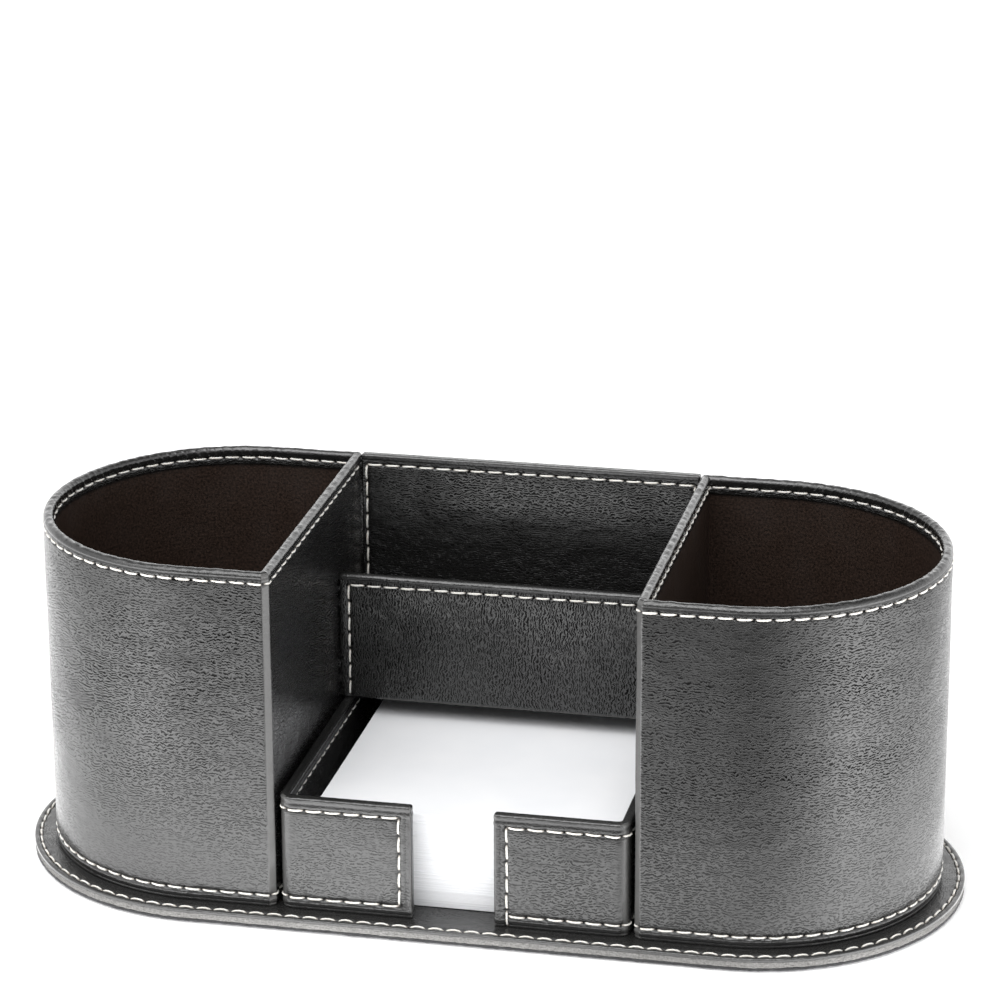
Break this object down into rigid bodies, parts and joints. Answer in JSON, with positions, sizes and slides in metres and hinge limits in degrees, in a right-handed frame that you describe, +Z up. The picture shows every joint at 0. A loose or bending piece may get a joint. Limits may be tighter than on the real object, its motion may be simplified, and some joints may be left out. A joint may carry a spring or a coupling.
{
  "type": "desk organiser with pen cups, phone slot and note tray",
  "caption": "Stitched black leather desk organiser with a round-ended pen cup at each side, an upright phone slot between them and a note tray in front, on one base mat.",
  "frame": {"origin": "centre of the footprint on the desk, at the underside of the base", "axes": "+X to the user's right along the longest side, -Y to the user, +Z up"},
  "size_m": [0.233, 0.103, 0.0882],
  "materials": {
    "leather": "semi-gloss grained black leather, turned and rolled at the edges",
    "lining": "smooth satin dark lining",
    "board_core": "matte grey board, raw fibrous edge",
    "underside_felt": "matte non-slip felt",
    "thread": "waxed off-white thread",
    "paper": "matte white note paper"
  },
  "bodies": {
    "organiser": {"base_underside": "underside_felt", "base_board": "board_core", "base_top_cover": "leather", "base_stitching": "thread", "left_cup_curved_board": "board_core", "left_cup_divider_board": "board_core", "left_cup_skin": "leather", "left_cup_lining": "lining", "left_cup_floor_pad": "lining", "left_cup_rim_stitching": "thread", "left_cup_foot_stitching": "thread", "left_cup_seam_stitching": "thread", "right_cup_curved_board": "board_core", "right_cup_divider_board": "board_core", "right_cup_skin": "leather", "right_cup_lining": "lining", "right_cup_floor_pad": "lining", "right_cup_rim_stitching": "thread", "right_cup_foot_stitching": "thread", "right_cup_seam_stitching": "thread", "back_panel_board": "board_core", "back_panel_cover": "leather", "back_panel_stitching": "thread", "slot_panel_board": "board_core", "slot_shelf_board": "board_core", "slot_cover": "leather", "slot_lining": "lining", "slot_stitching": "thread", "tray_left_board": "board_core", "tray_left_cover": "leather", "tray_left_stitching": "thread", "tray_right_board": "board_core", "tray_right_cover": "leather", "tray_right_stitching": "thread"},
    "notes": {"note_stack": "paper"}
  },
  "joints": [
    {"name": "notes_slide", "type": "slide", "parent": "organiser", "child": "notes", "axis": [0, 1, 0], "range_m": [-0.0041, 0.0065]}
  ]
}
